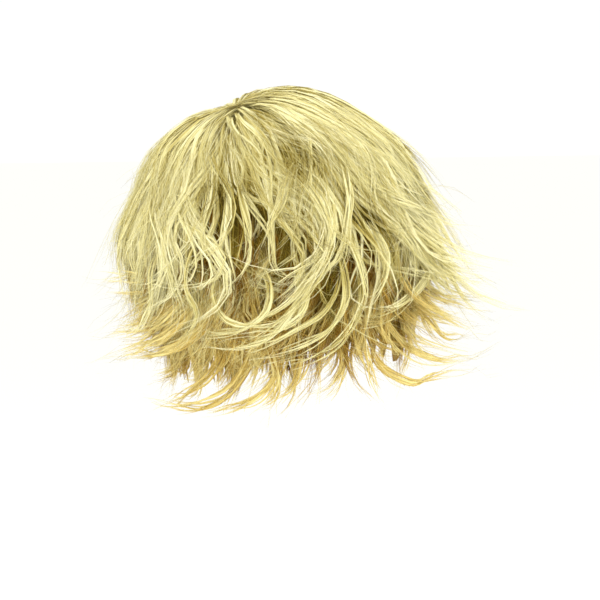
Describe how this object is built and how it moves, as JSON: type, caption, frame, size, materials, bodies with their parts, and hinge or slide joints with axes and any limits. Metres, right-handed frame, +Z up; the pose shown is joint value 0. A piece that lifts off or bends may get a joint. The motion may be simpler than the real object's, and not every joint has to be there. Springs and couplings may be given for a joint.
{
  "type": "short wig",
  "caption": "Short layered wig with flicked ends and a swept fringe: a close cap under nape, middle and crown layers of overlapping locks.",
  "frame": {"origin": "inside of the cap where the crown of the head meets it, on the middle plane and midway between forehead and back of head", "axes": "+Z up, -Y the way the face looks, +X the wearer's left"},
  "size_m": [0.2732, 0.2865, 0.2372],
  "materials": {
    "cap_net": "stretch net with sewn wefts",
    "under_hair": "silky fibre, golden brown",
    "middle_hair": "silky fibre, dark blond",
    "top_hair": "silky fibre, light blond",
    "front_hair": "silky fibre, light blond"
  },
  "bodies": {
    "root": {"cap": "cap_net", "nape_hair": "under_hair", "middle_hair": "middle_hair", "crown_hair": "top_hair", "fringe": "front_hair"}
  },
  "joints": []
}
